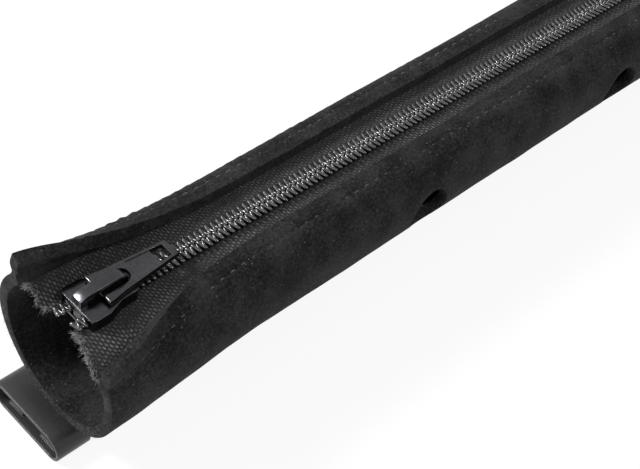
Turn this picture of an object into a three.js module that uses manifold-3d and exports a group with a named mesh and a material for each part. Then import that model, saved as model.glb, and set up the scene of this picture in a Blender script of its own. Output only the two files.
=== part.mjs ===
// Zippered cable sleeve: a foam-backed fabric sheet bent into a tube, closed along its top by a coil
// zip whose slider waits at the open mouth, with cable exit holes in one side and a flat oval anchor
// loop under the mouth. Millimetres. While it is built, X runs from the mouth along the sleeve, Y is
// across the zip and Z = 0 is the top of the zip tapes. The finished group is then moved so that its
// origin is the centre of its underside.

import * as THREE from 'three';
import { mergeVertices } from 'three/addons/utils/BufferGeometryUtils.js';
import Module from 'manifold-3d';

const wasm = await Module();
wasm.setup();

const DEGREE = Math.PI / 180;
const FAR = 1;
const NEAR = -1;

// Sleeve sheet
const SLEEVE_LENGTH = 482;
const WALL = 2.7;                  // thickness of the foam-backed fabric
const BODY_RADIUS = 17.4;          // outer radius of the round underside
const ZIP_ABOVE_CENTRE = 8.5;      // tape top above the centre of that round
const SHOULDER_RADIUS = 6;         // outer radius where the sheet turns in over the tapes
const EDGE_GAP = 18;               // width between the two free edges
const FLAP = 4.6;                  // sheet between the seam and its free edge
const SHEET_OVER_TAPE = 0.3;       // clearance of the sheet above the tapes

// Mouth, where the sheet spreads, turns towards the near side and curls up along both edges
const MOUTH_RADIUS = 19.3;
const MOUTH_REACH = 34;            // length over which the mouth's shape fades into the body
const MOUTH_TWIST = 14 * DEGREE;
const FAR_CURL = 81 * DEGREE;
const FAR_CURL_REACH = 17.2;       // length over which the far edge's curl fades
const FAR_CURL_BEFORE_SEAM = 3.2;  // from the start of the bend to the seam
const FAR_CURL_BEND = 2.6;         // length of sheet that bends
const NEAR_CURL = 26 * DEGREE;
const NEAR_CURL_BEND = 1.8;        // length of sheet that bends, from the seam on

// Cable exit holes, in the near side
const HOLE_DIAMETER = 12;
const HOLE_COUNT = 5;
const HOLE_PITCH = 73;
const HOLE_ANGLE = 102 * DEGREE;   // down from the zip

// Zip tapes and coils
const TAPE_THICKNESS = 0.5;
const TAPE_INNER_EDGE = 1.6;       // from the chain's centre line
const TAPE_PAST_SEAM = 2;
const TAPE_INSET = 1.5;            // tape end, back from the mouth
const COIL_PITCH = 1.54;
const COIL_WIDTH = 2.8;
const COIL_HEIGHT = 1.7;
const COIL_GROOVE = 0.5;           // depth between two turns
const COIL_OVER_TAPE = 0.3;
const COIL_GAP = 0.3;              // between the two coils
const COIL_INSET = 2.5;            // coil end, back from the mouth
const CHAIN_END_MARGIN = 12;       // sleeve past the closed end of the chain

// Seams
const THREAD_WIDTH = 0.8;
const THREAD_THICKNESS = 0.3;
const THREAD_CLEARANCE = 0.3;

// Slider
const SLIDER_INSET = 5.8;          // its front, back from the mouth
const SLIDER_LENGTH = 13;
const SLIDER_WIDE_LENGTH = 4.5;
const SLIDER_TAPER_LENGTH = 4;
const PLATE_THICKNESS = 0.9;
const FLANGE_THICKNESS = 0.95;
const RUN_CLEARANCE = 0.3;         // slider to coils and tapes
const NECK_HALF = 1.3;
const NECK_LENGTH = 4.4;
const NECK_POINT = 1.6;
const PLATE_CORNER = 1.2;

// Bridge on the slider
const BRIDGE_WIDTH = 2.8;
const BRIDGE_THICKNESS = 1.3;
const BRIDGE_INSET = 0.2;          // front leg, back from the slider's front
const BRIDGE_REAR_INSET = 0.6;     // rear leg, from the slider's rear
const BRIDGE_FRONT_LEG = 1.7;
const BRIDGE_REAR_LEG = 1.5;
const BRIDGE_SLANT = 1.9;
const BAR_CLEARANCE = 0.3;         // around the tab's hinge bar in the bridge

// Pull tab
const TAB_THICKNESS = 1.2;
const TAB_HINGE_FROM_FRONT = 5.8;  // hinge bar, from the slider's front
const TAB_LENGTH = 19;             // hinge bar to tip
const TAB_HINGE_HALF = 4.3;
const TAB_WAIST_HALF = 3.6;
const TAB_WAIST = 4.8;             // where the waist starts, from the hinge bar
const TAB_TIP_HALF = 2.3;
const TAB_BAR_RADIUS = 0.55;
const TAB_OVER_PLATE = 0.3;
const TAB_WINDOW_HALF = 2.2;
const TAB_WINDOW_PAST_BRIDGE = 0.9;
const TAB_RIM = 0.65;
const TAB_RECESS = 0.3;
const TAB_PANEL_START = 8.4;
const TAB_SLOT_START = 14.4;
const TAB_SLOT_LENGTH = 3;

// End stop
const STOP_LENGTH = 3.2;
const STOP_HALF = 3.4;
const STOP_THICKNESS = 0.7;
const STOP_CLEARANCE = 0.3;

// Anchor loop
const LOOP_WIDTH = 24;
const LOOP_HEIGHT = 7.5;
const LOOP_DEPTH = 8.6;
const LOOP_WALL = 0.9;
const LOOP_REACH = 5.4;            // how far it stands out of the mouth
const LOOP_OFFSET = 4.7;           // its centre, towards the far side
const LOOP_CLEARANCE = 0.3;
const LEDGE_WIDTH = 5;
const LEDGE_HEIGHT = 0.6;
const LEDGE_INSET = 1.5;

// Worked-out places
const CENTRE_Z = -ZIP_ABOVE_CENTRE;
const SHEET_TOP = SHEET_OVER_TAPE + WALL;
const TURN_IN = Math.acos((SHEET_TOP - SHOULDER_RADIUS - CENTRE_Z) / (BODY_RADIUS - SHOULDER_RADIUS));
const CHAIN_END = SLEEVE_LENGTH - CHAIN_END_MARGIN;
const COIL_TOP = COIL_OVER_TAPE + COIL_HEIGHT;
const COIL_SPREAD = NECK_HALF + RUN_CLEARANCE - COIL_GAP / 2;
const FRONT_HALF = NECK_HALF + 2 * RUN_CLEARANCE + COIL_WIDTH + FLANGE_THICKNESS;
const REAR_HALF = FRONT_HALF - COIL_SPREAD;
const NECK_END = SLIDER_INSET + BRIDGE_INSET + NECK_LENGTH;
const CHAIN_CLOSED = SLIDER_INSET + SLIDER_WIDE_LENGTH + SLIDER_TAPER_LENGTH;
const TAPE_FLAT_HALF = FRONT_HALF + 2 * RUN_CLEARANCE;
const PLATE_UNDERSIDE = COIL_TOP + RUN_CLEARANCE;
const PLATE_TOP = PLATE_UNDERSIDE + PLATE_THICKNESS;
const LOWER_PLATE_TOP = -TAPE_THICKNESS - RUN_CLEARANCE;
const BRIDGE_REAR = SLIDER_LENGTH - BRIDGE_REAR_INSET;
const TAB_WINDOW_END = BRIDGE_REAR - TAB_HINGE_FROM_FRONT + TAB_WINDOW_PAST_BRIDGE;
const HINGE_Z = PLATE_TOP + TAB_OVER_PLATE + TAB_THICKNESS / 2;
const BRIDGE_UNDERSIDE = HINGE_Z + TAB_BAR_RADIUS + BAR_CLEARANCE;
const BRIDGE_TOP = BRIDGE_UNDERSIDE + BRIDGE_THICKNESS;
const LOOP_TOP = CENTRE_Z - MOUTH_RADIUS - LOOP_CLEARANCE;

function mix(from, to, share) {
  return from + (to - from) * share;
}

function smoothStep(start, end, value) {
  const t = Math.min(Math.max((value - start) / (end - start), 0), 1);
  return t * t * (3 - 2 * t);
}

// Meshes and solids

function solidFrom(geometry) {
  const bare = geometry.clone();
  bare.deleteAttribute('normal');
  bare.deleteAttribute('uv');
  const merged = mergeVertices(bare, 1e-5);
  return new wasm.Manifold(new wasm.Mesh({
    numProp: 3,
    vertProperties: new Float32Array(merged.attributes.position.array),
    triVerts: new Uint32Array(merged.index.array),
  }));
}

function geometryFrom(solid) {
  const mesh = solid.getMesh();
  const geometry = new THREE.BufferGeometry();
  geometry.setAttribute('position', new THREE.BufferAttribute(mesh.vertProperties, 3));
  geometry.setIndex(new THREE.BufferAttribute(mesh.triVerts, 1));
  return geometry;
}

function piece(name, geometry, color, roughness, metalness) {
  const mesh = new THREE.Mesh(geometry, new THREE.MeshStandardMaterial({ color, roughness, metalness }));
  mesh.name = name;
  return mesh;
}

// Closed skin over rings of points. Each ring is one row across and then the other row back.
function loftRings(rings) {
  const count = rings[0].length;
  const last = (rings.length - 1) * count;
  const index = [];
  for (let start = 0; start < last; start += count) {
    for (let k = 0; k < count; k += 1) {
      const a = start + k;
      const b = start + ((k + 1) % count);
      index.push(a, b, b + count, a, b + count, a + count);
    }
  }
  for (let k = 0; k + 1 < count / 2; k += 1) {
    const [a, b, c, d] = [k, k + 1, count - 2 - k, count - 1 - k];
    index.push(a, d, c, a, c, b);
    index.push(last + a, last + c, last + d, last + a, last + b, last + c);
  }
  const geometry = new THREE.BufferGeometry();
  const positions = rings.flat().flatMap((point) => point.toArray());
  geometry.setAttribute('position', new THREE.Float32BufferAttribute(positions, 3));
  geometry.setIndex(index);
  return geometry;
}

// An outline in X and Y, filled from one height to another.
function plateSolid(shape, low, high) {
  const settings = { depth: high - low, bevelEnabled: false, curveSegments: 6 };
  return solidFrom(new THREE.ExtrudeGeometry(shape, settings).translate(0, 0, low));
}

// An outline in X and Z, filled across Y and centred on the chain.
function profileSolid(shape, width) {
  const settings = { depth: width, bevelEnabled: false, curveSegments: 8 };
  const geometry = new THREE.ExtrudeGeometry(shape, settings).translate(0, 0, -width / 2);
  return solidFrom(geometry.rotateX(Math.PI / 2));
}

function boxSolid(low, high) {
  const size = high.clone().sub(low);
  const centre = low.clone().add(high).multiplyScalar(0.5);
  return solidFrom(new THREE.BoxGeometry(...size.toArray()).translate(...centre.toArray()));
}

// Sheet section

// How much of the mouth's shape is left at a distance from the mouth.
function mouthShare(x) {
  return Math.exp(-((x / MOUTH_REACH) ** 1.6));
}

function farCurlShare(x) {
  return Math.exp(-((x / FAR_CURL_REACH) ** 1.1));
}

// One half of the sheet's middle surface at x: followed from the middle of the underside to the free
// edge, with the direction of its outer face at each step.
function sheetHalf(x, side, curled = true) {
  const share = mouthShare(x);
  const radius = mix(BODY_RADIUS, MOUTH_RADIUS, share) - WALL / 2;
  const shoulder = SHOULDER_RADIUS - WALL / 2;
  const flat = (BODY_RADIUS - SHOULDER_RADIUS) * Math.sin(TURN_IN) - EDGE_GAP / 2;
  const arc = radius * (Math.PI - TURN_IN);
  const length = arc + shoulder * TURN_IN + flat;
  const seam = length - FLAP;
  const [curl, curlStart, curlEnd] = side === FAR
    ? [FAR_CURL * farCurlShare(x), seam - FAR_CURL_BEFORE_SEAM, seam - FAR_CURL_BEFORE_SEAM + FAR_CURL_BEND]
    : [NEAR_CURL * share, seam, seam + NEAR_CURL_BEND];
  const twist = share * MOUTH_TWIST;
  const bendAt = (s) => {
    let bend = s < arc ? 1 / radius : 1 / shoulder;
    if (s > arc + shoulder * TURN_IN) bend = 0;
    if (curled && s > curlStart && s < curlEnd) bend -= curl / (curlEnd - curlStart);
    return bend;
  };
  const steps = 600;
  const stride = length / steps;
  const path = [];
  let [y, height, facing] = [0, -radius, Math.PI];
  for (let k = 0; k <= steps; k += 1) {
    path.push({ y: side * y, height, facing: side * facing });
    const bend = bendAt((k + 0.5) * stride) * stride;
    y -= Math.cos(facing - bend / 2) * stride;
    height += Math.sin(facing - bend / 2) * stride;
    facing -= bend;
  }
  // A point s along the sheet, out from its middle surface, with the mouth's twist.
  const at = (s, out) => {
    const step = path[Math.round(Math.min(Math.max(s / stride, 0), steps))];
    const across = step.y + out * Math.sin(step.facing);
    const up = step.height + out * Math.cos(step.facing);
    return new THREE.Vector3(
      x,
      across * Math.cos(twist) - up * Math.sin(twist),
      CENTRE_Z + across * Math.sin(twist) + up * Math.cos(twist),
    );
  };
  return { arc, seam, length, curlStart, curlEnd, at };
}

// Distances from the mouth at which the sections are taken: close together where the shape changes.
function stations(start, end) {
  const bends = [0, 3, 6, 9.5, 13.5, 18, 23, 29, 36, 44, 54, 68, 90];
  return [start, ...bends.filter((x) => x > start + 1 && x < end - 1), end];
}

// Sleeve

const UNDERSIDE_STEPS = 9;

function sheetRow(x, out) {
  const row = [];
  [NEAR, FAR].forEach((side) => {
    const half = sheetHalf(x, side);
    const marks = [];
    for (let k = side === FAR ? 1 : 0; k <= UNDERSIDE_STEPS; k += 1) {
      marks.push((half.arc * k) / UNDERSIDE_STEPS);
    }
    marks.push(half.curlStart, (half.curlStart + half.curlEnd) / 2, half.curlEnd);
    marks.push(half.seam + 0.1 * FLAP, half.seam + 0.7 * FLAP, half.length);
    const points = marks.sort((a, b) => a - b).map((s) => half.at(s, out));
    row.push(...(side === NEAR ? points.reverse() : points));
  });
  return row;
}

function cableHole(x) {
  const radius = HOLE_DIAMETER / 2;
  const cutter = new THREE.CylinderGeometry(radius, radius, BODY_RADIUS, 32);
  cutter.translate(0, BODY_RADIUS, 0);
  cutter.rotateX(Math.PI / 2 + HOLE_ANGLE);
  return solidFrom(cutter.translate(x, 0, CENTRE_Z));
}

function sleeveWall() {
  const rings = stations(0, SLEEVE_LENGTH).map((x) => {
    const outer = sheetRow(x, WALL / 2);
    const inner = sheetRow(x, -WALL / 2);
    return [...outer, ...inner.reverse()];
  });
  let wall = solidFrom(loftRings(rings));
  const firstHole = (SLEEVE_LENGTH - (HOLE_COUNT - 1) * HOLE_PITCH) / 2;
  for (let k = 0; k < HOLE_COUNT; k += 1) {
    wall = wall.subtract(cableHole(firstHole + k * HOLE_PITCH));
  }
  return geometryFrom(wall);
}

// Zip tapes and coils

// How far the coils and tapes stand apart around the slider's neck.
function spreadAt(x) {
  return COIL_SPREAD * (1 - smoothStep(NECK_END, CHAIN_CLOSED, x));
}

// Distances from the mouth at which the tapes draw together behind the neck.
function spreadMarks() {
  return [0, 0.2, 0.4, 0.6, 0.8, 1].map((share) => mix(NECK_END, CHAIN_CLOSED, share));
}

function zipTape(side) {
  const below = WALL / 2 + SHEET_OVER_TAPE + TAPE_THICKNESS / 2;
  const marks = [...stations(TAPE_INSET, SLEEVE_LENGTH - TAPE_INSET), ...spreadMarks()];
  const rings = [...new Set(marks)].sort((a, b) => a - b).map((x) => {
    const half = sheetHalf(x, side, false);
    const row = (rise) => {
      const points = [
        new THREE.Vector3(x, side * (TAPE_INNER_EDGE + spreadAt(x)), rise - TAPE_THICKNESS / 2),
        new THREE.Vector3(x, side * TAPE_FLAT_HALF, rise - TAPE_THICKNESS / 2),
      ];
      [0, 1, 2].forEach((k) => points.push(half.at(half.seam - (k * TAPE_PAST_SEAM) / 2, rise - below)));
      return points;
    };
    const ring = [...row(TAPE_THICKNESS / 2), ...row(-TAPE_THICKNESS / 2).reverse()];
    return side === FAR ? ring.reverse() : ring;
  });
  return loftRings(rings);
}

// A strip with one crest for each turn of the coil. The two coils' crests lie half a pitch apart.
function zipCoil(side) {
  const shift = side === FAR ? 0 : COIL_PITCH / 2;
  const closed = SLIDER_INSET + SLIDER_LENGTH;
  const crests = [];
  for (let x = COIL_INSET + shift; x + COIL_PITCH < CHAIN_END; x += COIL_PITCH) crests.push(x);
  const split = crests.findIndex((x) => x > closed);

  const front = [];
  crests.slice(0, split + 1).forEach((x, k) => {
    const section = (at, top) => {
      const inner = side * (COIL_GAP / 2 + spreadAt(at));
      const outer = inner + side * COIL_WIDTH;
      const ring = [[inner, top], [outer, top], [outer, COIL_OVER_TAPE], [inner, COIL_OVER_TAPE]];
      const points = ring.map(([y, z]) => new THREE.Vector3(at, y, z));
      return side === FAR ? points.reverse() : points;
    };
    if (k > 0) front.push(section(x - COIL_PITCH / 2, COIL_TOP - COIL_GROOVE));
    front.push(section(x, COIL_TOP));
  });

  const outline = new THREE.Shape();
  outline.moveTo(crests[split - 1], COIL_OVER_TAPE);
  outline.lineTo(crests[crests.length - 1], COIL_OVER_TAPE);
  crests.slice(split - 1).reverse().forEach((x, k) => {
    if (k > 0) outline.lineTo(x + COIL_PITCH / 2, COIL_TOP - COIL_GROOVE);
    outline.lineTo(x, COIL_TOP);
  });
  const chain = profileSolid(outline, COIL_WIDTH).translate(0, (side * (COIL_GAP + COIL_WIDTH)) / 2, 0);
  return geometryFrom(chain.add(solidFrom(loftRings(front))));
}

function seamThread(side) {
  const rings = stations(TAPE_INSET, SLEEVE_LENGTH - TAPE_INSET).map((x) => {
    const half = sheetHalf(x, side);
    const low = WALL / 2 + THREAD_CLEARANCE;
    const row = (out) => [half.at(half.seam - THREAD_WIDTH, out), half.at(half.seam, out)];
    const ring = [...row(low + THREAD_THICKNESS), ...row(low).reverse()];
    return side === FAR ? ring : ring.reverse();
  });
  return loftRings(rings);
}

function endStop() {
  const start = CHAIN_END + STOP_CLEARANCE;
  const end = start + STOP_LENGTH;
  const webHalf = TAPE_INNER_EDGE - STOP_CLEARANCE;
  const over = STOP_CLEARANCE;
  const under = -TAPE_THICKNESS - STOP_CLEARANCE;
  const bar = (low, high, half) => boxSolid(
    new THREE.Vector3(start, -half, low),
    new THREE.Vector3(end, half, high),
  );
  const top = bar(over, over + STOP_THICKNESS, STOP_HALF);
  const bottom = bar(under - STOP_THICKNESS, under, STOP_HALF);
  return geometryFrom(top.add(bottom).add(bar(under - STOP_THICKNESS, over + STOP_THICKNESS, webHalf)));
}

// Slider, drawn from its own front

// Outline from above: wide around the neck, then narrowing to the closed chain.
function sliderOutline(inset, overrun) {
  const frontHalf = FRONT_HALF - inset;
  const rearHalf = REAR_HALF - inset;
  const corner = inset > 0 ? 0 : PLATE_CORNER;
  const wideEnd = SLIDER_WIDE_LENGTH;
  const taperEnd = SLIDER_WIDE_LENGTH + SLIDER_TAPER_LENGTH;
  const front = -overrun;
  const rear = SLIDER_LENGTH + overrun;
  const shape = new THREE.Shape();
  shape.moveTo(front + corner, -frontHalf);
  shape.lineTo(wideEnd, -frontHalf);
  shape.lineTo(taperEnd, -rearHalf);
  shape.lineTo(rear - corner, -rearHalf);
  if (corner > 0) shape.quadraticCurveTo(rear, -rearHalf, rear, -rearHalf + corner);
  shape.lineTo(rear, rearHalf - corner);
  if (corner > 0) shape.quadraticCurveTo(rear, rearHalf, rear - corner, rearHalf);
  shape.lineTo(taperEnd, rearHalf);
  shape.lineTo(wideEnd, frontHalf);
  shape.lineTo(front + corner, frontHalf);
  if (corner > 0) shape.quadraticCurveTo(front, frontHalf, front, frontHalf - corner);
  shape.lineTo(front, -frontHalf + corner);
  if (corner > 0) shape.quadraticCurveTo(front, -frontHalf, front + corner, -frontHalf);
  return shape;
}

function neckOutline() {
  const start = BRIDGE_INSET;
  const end = start + NECK_LENGTH;
  const shape = new THREE.Shape();
  shape.moveTo(start, -NECK_HALF);
  shape.lineTo(end, -NECK_HALF);
  shape.lineTo(end + NECK_POINT, 0);
  shape.lineTo(end, NECK_HALF);
  shape.lineTo(start, NECK_HALF);
  return shape;
}

// The bridge from the side: a tall front leg with a slanted shoulder, a level top and a round rear.
function bridgeOutline() {
  const front = BRIDGE_INSET;
  const rear = BRIDGE_REAR;
  const foot = PLATE_UNDERSIDE + PLATE_THICKNESS / 2;
  const shape = new THREE.Shape();
  shape.moveTo(front, foot);
  shape.lineTo(rear, foot);
  shape.lineTo(rear, PLATE_TOP);
  shape.quadraticCurveTo(rear, BRIDGE_TOP, rear - BRIDGE_REAR_LEG - BRIDGE_THICKNESS, BRIDGE_TOP);
  shape.lineTo(front + BRIDGE_SLANT, BRIDGE_TOP);
  shape.lineTo(front, BRIDGE_TOP - BRIDGE_SLANT / 2);
  const inside = new THREE.Path();
  const start = front + BRIDGE_FRONT_LEG;
  const end = rear - BRIDGE_REAR_LEG;
  inside.moveTo(start, PLATE_TOP);
  inside.lineTo(start, BRIDGE_UNDERSIDE);
  inside.lineTo(end - BRIDGE_THICKNESS, BRIDGE_UNDERSIDE);
  inside.quadraticCurveTo(end, BRIDGE_UNDERSIDE, end, PLATE_TOP);
  shape.holes.push(inside);
  return shape;
}

function sliderBody() {
  const upper = plateSolid(sliderOutline(0, 0), RUN_CLEARANCE, PLATE_TOP);
  const channel = plateSolid(sliderOutline(FLANGE_THICKNESS, 1), -RUN_CLEARANCE, PLATE_UNDERSIDE);
  const lower = plateSolid(sliderOutline(0, 0), LOWER_PLATE_TOP - PLATE_THICKNESS, LOWER_PLATE_TOP);
  const neck = plateSolid(neckOutline(), LOWER_PLATE_TOP - PLATE_THICKNESS / 2, PLATE_TOP);
  const bridge = profileSolid(bridgeOutline(), BRIDGE_WIDTH);
  return geometryFrom(upper.subtract(channel).add(lower).add(neck).add(bridge));
}

// Pull tab, drawn from its hinge bar

function tabOutline(inset, start, end) {
  const half = (x) => {
    if (x < TAB_WAIST) return mix(TAB_HINGE_HALF, TAB_WAIST_HALF, smoothStep(0, TAB_WAIST, x)) - inset;
    return mix(TAB_WAIST_HALF, TAB_TIP_HALF, (x - TAB_WAIST) / (TAB_LENGTH - TAB_WAIST)) - inset;
  };
  const marks = [start];
  [0, 0.3, 0.55, 0.8, 1].forEach((share) => {
    if (share * TAB_WAIST > start && share * TAB_WAIST < end) marks.push(share * TAB_WAIST);
  });
  marks.push(end);
  const shape = new THREE.Shape();
  shape.moveTo(marks[0], -half(marks[0]));
  marks.slice(1).forEach((x) => shape.lineTo(x, -half(x)));
  marks.reverse().forEach((x) => shape.lineTo(x, half(x)));
  return shape;
}

function tabWindow() {
  const hole = new THREE.Shape();
  const start = TAB_BAR_RADIUS;
  const roundAt = TAB_WINDOW_END - TAB_WINDOW_HALF;
  hole.moveTo(start, -TAB_WINDOW_HALF);
  hole.lineTo(roundAt, -TAB_WINDOW_HALF);
  hole.absarc(roundAt, 0, TAB_WINDOW_HALF, -Math.PI / 2, Math.PI / 2, false);
  hole.lineTo(start, TAB_WINDOW_HALF);
  return hole;
}

// The tab from the side: a round hinge end and a straight blade.
function tabProfile() {
  const radius = TAB_THICKNESS / 2;
  const shape = new THREE.Shape();
  shape.absarc(0, 0, radius, Math.PI / 2, (3 * Math.PI) / 2, false);
  shape.lineTo(TAB_LENGTH - radius / 2, -radius);
  shape.lineTo(TAB_LENGTH, -radius / 2);
  shape.lineTo(TAB_LENGTH, radius / 2);
  shape.lineTo(TAB_LENGTH - radius / 2, radius);
  return shape;
}

function pullTab() {
  const through = TAB_THICKNESS;
  const blade = plateSolid(tabOutline(0, -TAB_THICKNESS, TAB_LENGTH + 1), -through, through);
  const frame = blade.intersect(profileSolid(tabProfile(), 3 * TAB_HINGE_HALF));
  const open = frame.subtract(plateSolid(tabWindow(), -through, through));
  // The window leaves a square strip at the hinge, which is turned round as the hinge bar.
  const strip = boxSolid(
    new THREE.Vector3(-TAB_THICKNESS, -TAB_WINDOW_HALF, -through),
    new THREE.Vector3(TAB_BAR_RADIUS, TAB_WINDOW_HALF, through),
  );
  const bar = new THREE.CylinderGeometry(TAB_BAR_RADIUS, TAB_BAR_RADIUS, 2 * TAB_WINDOW_HALF + 1, 16);
  const hinge = open.subtract(strip).add(solidFrom(bar));
  const floor = TAB_THICKNESS / 2 - TAB_RECESS;
  const panelEnd = TAB_SLOT_START + TAB_SLOT_LENGTH;
  const panel = plateSolid(tabOutline(TAB_RIM, TAB_PANEL_START, panelEnd), floor, through);
  const slot = plateSolid(tabOutline(TAB_RIM, TAB_SLOT_START, panelEnd), -through, through);
  return geometryFrom(hinge.subtract(panel).subtract(slot));
}

// Anchor loop

function stadium(width, height) {
  const shape = new THREE.Shape();
  const radius = height / 2;
  const straight = width / 2 - radius;
  shape.absarc(straight, 0, radius, -Math.PI / 2, Math.PI / 2, false);
  shape.absarc(-straight, 0, radius, Math.PI / 2, (3 * Math.PI) / 2, false);
  return shape;
}

function anchorLoop() {
  const ring = stadium(LOOP_WIDTH, LOOP_HEIGHT);
  ring.holes.push(stadium(LOOP_WIDTH - 2 * LOOP_WALL, LOOP_HEIGHT - 2 * LOOP_WALL));
  const settings = { depth: LOOP_DEPTH, bevelEnabled: false, curveSegments: 10 };
  const alongX = new THREE.Matrix4().makeBasis(
    new THREE.Vector3(0, 1, 0),
    new THREE.Vector3(0, 0, 1),
    new THREE.Vector3(1, 0, 0),
  );
  let loop = solidFrom(new THREE.ExtrudeGeometry(ring, settings).applyMatrix4(alongX));
  const floor = -LOOP_HEIGHT / 2 + LOOP_WALL;
  const straight = (LOOP_WIDTH - LOOP_HEIGHT) / 2;
  [FAR, NEAR].forEach((side) => {
    const outer = side * straight;
    const inner = side * (straight - LEDGE_WIDTH);
    loop = loop.add(boxSolid(
      new THREE.Vector3(LEDGE_INSET, Math.min(outer, inner), floor - LOOP_WALL / 2),
      new THREE.Vector3(LOOP_DEPTH - LEDGE_INSET, Math.max(outer, inner), floor + LEDGE_HEIGHT),
    ));
  });
  return geometryFrom(loop);
}

// Assembly

const CLOTH = [0x1b1b1c, 0.95, 0];
const TAPE = [0x151516, 0.9, 0];
const NYLON = [0x1a1a1b, 0.4, 0];
const THREAD = [0x202022, 0.8, 0];
const BLACK_NICKEL = [0x3a3a3e, 0.3, 1];
const BLACK_PLASTIC = [0x222224, 0.45, 0];

const sleeve = new THREE.Group();
sleeve.add(
  piece('sleeve_wall', sleeveWall(), ...CLOTH),
  piece('zip_tape_far', zipTape(FAR), ...TAPE),
  piece('zip_tape_near', zipTape(NEAR), ...TAPE),
  piece('coil_far', zipCoil(FAR), ...NYLON),
  piece('coil_near', zipCoil(NEAR), ...NYLON),
  piece('seam_far', seamThread(FAR), ...THREAD),
  piece('seam_near', seamThread(NEAR), ...THREAD),
  piece('end_stop', endStop(), ...BLACK_NICKEL),
);

const slider = new THREE.Group();
slider.position.set(SLIDER_INSET, 0, 0);
const tab = piece('pull_tab', pullTab(), ...BLACK_NICKEL);
tab.position.set(TAB_HINGE_FROM_FRONT, 0, HINGE_Z);
slider.add(piece('slider_body', sliderBody(), ...BLACK_NICKEL), tab);

const loop = piece('anchor_loop', anchorLoop(), ...BLACK_PLASTIC);
loop.position.set(-LOOP_REACH, LOOP_OFFSET, LOOP_TOP - LOOP_HEIGHT / 2);

const part = new THREE.Group();
part.add(sleeve, slider, loop);
part.updateMatrixWorld(true);
const bounds = new THREE.Box3().setFromObject(part);
const middle = bounds.getCenter(new THREE.Vector3());
part.position.set(-middle.x, -middle.y, -bounds.min.z);

export default part;
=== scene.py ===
import math

import bmesh
import bpy
import numpy as np
from mathutils import Matrix, Vector, noise


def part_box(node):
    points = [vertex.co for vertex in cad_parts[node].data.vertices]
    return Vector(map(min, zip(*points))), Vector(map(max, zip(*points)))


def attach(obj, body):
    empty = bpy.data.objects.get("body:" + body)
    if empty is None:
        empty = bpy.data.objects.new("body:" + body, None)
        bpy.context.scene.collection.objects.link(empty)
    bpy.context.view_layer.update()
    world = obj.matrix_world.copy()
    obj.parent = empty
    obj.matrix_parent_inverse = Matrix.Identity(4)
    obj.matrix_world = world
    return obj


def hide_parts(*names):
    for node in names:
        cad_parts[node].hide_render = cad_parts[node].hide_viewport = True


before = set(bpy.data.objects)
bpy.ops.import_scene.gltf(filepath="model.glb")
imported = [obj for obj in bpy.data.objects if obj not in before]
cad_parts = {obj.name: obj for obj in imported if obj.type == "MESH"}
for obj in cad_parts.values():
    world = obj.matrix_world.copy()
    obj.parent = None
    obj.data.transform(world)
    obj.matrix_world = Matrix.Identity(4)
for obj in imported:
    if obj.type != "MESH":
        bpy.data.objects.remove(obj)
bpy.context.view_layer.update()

# Camera
# The view looks down on the sleeve's open mouth from its near side, with the zip running away to the
# upper right. Its aim is measured from the mouth, the chain's middle and the top of the zip tapes.
MM = 0.001
MOUTH_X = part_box("sleeve_wall")[0].x
SLEEVE_END_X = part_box("sleeve_wall")[1].x
CHAIN_Y = sum(corner.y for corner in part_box("slider_body")) / 2
TAPE_TOP_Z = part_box("zip_tape_near")[1].z
SLEEVE_FRAME = Vector((MOUTH_X, CHAIN_Y, TAPE_TOP_Z))

PICTURE_WIDTH = 640
FOCAL_PIXELS = 1400
SENSOR_WIDTH = 36
CAMERA_AZIMUTH = math.radians(-49.31)
CAMERA_ELEVATION = math.radians(46.85)
CAMERA_ROLL = math.radians(8.38)
CAMERA_DISTANCE = 305.68 * MM
CAMERA_AIM = Vector((60.66, -13.98, 0)) * MM

backward = Vector((
    math.sin(CAMERA_AZIMUTH) * math.cos(CAMERA_ELEVATION),
    -math.cos(CAMERA_AZIMUTH) * math.cos(CAMERA_ELEVATION),
    math.sin(CAMERA_ELEVATION),
))
level_right = Vector((0, 0, 1)).cross(backward).normalized()
level_up = backward.cross(level_right)
camera_right = level_right * math.cos(CAMERA_ROLL) + level_up * math.sin(CAMERA_ROLL)
camera_up = backward.cross(camera_right)
bpy.ops.object.camera_add(location=SLEEVE_FRAME + CAMERA_AIM + backward * CAMERA_DISTANCE)
camera = bpy.context.object
camera.name = "photo_camera"
camera.rotation_mode = "QUATERNION"
camera.rotation_quaternion = Matrix((camera_right, camera_up, backward)).transposed().to_quaternion()
camera.data.sensor_width = SENSOR_WIDTH
camera.data.lens = FOCAL_PIXELS / PICTURE_WIDTH * SENSOR_WIDTH
camera.data.clip_start = 10 * MM
camera.data.clip_end = 20
bpy.context.scene.camera = camera

# Studio
# A white sweep, a soft box above and behind on the left that draws the bright lines along the slider,
# the coils and the loop's rim, and two small ones at the front and left for points of light on them.
FLOOR_SIZE = 6
FLOOR_WHITE = (0.86, 0.86, 0.86, 1)
FLOOR_GLOW_SHARE = 0.88
WORLD_LEVEL = 0.3
SOFT_BOXES = (
    ("back_soft_box", (-0.36, 0.46, 0.56), 0.2, 9.5),
    ("near_soft_box", (0.2, -0.42, 0.64), 0.07, 2.6),
    ("left_soft_box", (-0.7, -0.12, 0.3), 0.1, 1.6),
)

scene = bpy.context.scene
scene.view_settings.view_transform = "Standard"


def clear_selection():
    if bpy.context.object is not None and bpy.context.object.mode != "OBJECT":
        bpy.ops.object.mode_set(mode="OBJECT")
    bpy.ops.object.select_all(action="DESELECT")


def start_material(name):
    material = bpy.data.materials.new(name)
    material.use_nodes = True
    material.node_tree.nodes.clear()
    return material, material.node_tree


def add_node(tree, kind, **settings):
    made = tree.nodes.new(kind)
    for key, value in settings.items():
        setattr(made, key, value)
    return made


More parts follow.
